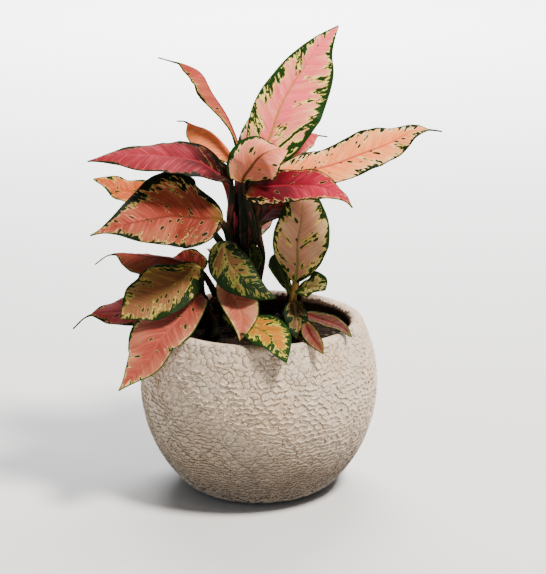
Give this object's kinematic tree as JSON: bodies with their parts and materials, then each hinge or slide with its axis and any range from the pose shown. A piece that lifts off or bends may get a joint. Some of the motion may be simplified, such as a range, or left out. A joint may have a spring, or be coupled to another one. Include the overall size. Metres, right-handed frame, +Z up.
{
  "type": "potted chinese evergreen",
  "caption": "Decorative houseplant: leafy canes with broad pointed pink and green variegated leaves, growing from soil in a round crackle-glazed ceramic pot.",
  "frame": {"origin": "centre of the pot's flat base", "axes": "+Z up, -Y towards the front that the picture shows, +X to the right of it"},
  "size_m": [0.2344, 0.1858, 0.2914],
  "materials": {
    "glaze": "matt cream crackle relief",
    "soil": "crumbly dark potting soil",
    "cane": "dark green plant stem",
    "leaf_pink": "satin leaf, pink with green and cream flecks",
    "leaf_salmon": "satin leaf, salmon with green flecks and margins",
    "leaf_orange": "satin leaf, orange",
    "leaf_crimson": "satin leaf, crimson with a dark margin",
    "leaf_tan": "satin leaf, tan and yellow green with dark green flecks",
    "leaf_green": "satin leaf, dark green mottled with tan",
    "leaf_dark": "satin leaf, very dark green"
  },
  "bodies": {
    "root": {"pot": "glaze", "soil": "soil", "cane_main": "cane", "cane_left": "cane", "cane_right": "cane", "cane_rear": "cane", "leaf_crown_1": "leaf_pink", "leaf_crown_2": "leaf_salmon", "leaf_crown_3": "leaf_orange", "leaf_crown_4": "leaf_crimson", "leaf_crown_5": "leaf_pink", "leaf_crown_6": "leaf_salmon", "leaf_crown_7": "leaf_crimson", "leaf_crown_8": "leaf_pink", "leaf_crown_9": "leaf_pink", "leaf_crown_10": "leaf_crimson", "leaf_crown_11": "leaf_salmon", "leaf_middle_1": "leaf_salmon", "leaf_middle_2": "leaf_orange", "leaf_middle_3": "leaf_green", "leaf_middle_4": "leaf_crimson", "leaf_middle_5": "leaf_crimson", "leaf_middle_6": "leaf_salmon", "leaf_middle_7": "leaf_dark", "leaf_left_1": "leaf_tan", "leaf_left_2": "leaf_crimson", "leaf_left_3": "leaf_crimson", "leaf_left_4": "leaf_pink", "leaf_front_1": "leaf_pink", "leaf_front_2": "leaf_tan", "leaf_right_1": "leaf_tan", "leaf_right_2": "leaf_tan", "leaf_right_3": "leaf_green", "leaf_right_4": "leaf_crimson", "leaf_right_5": "leaf_crimson", "leaf_right_6": "leaf_salmon", "leaf_right_7": "leaf_dark", "leaf_rear_1": "leaf_green", "leaf_rear_2": "leaf_pink", "leaf_rear_4": "leaf_salmon"}
  },
  "joints": []
}
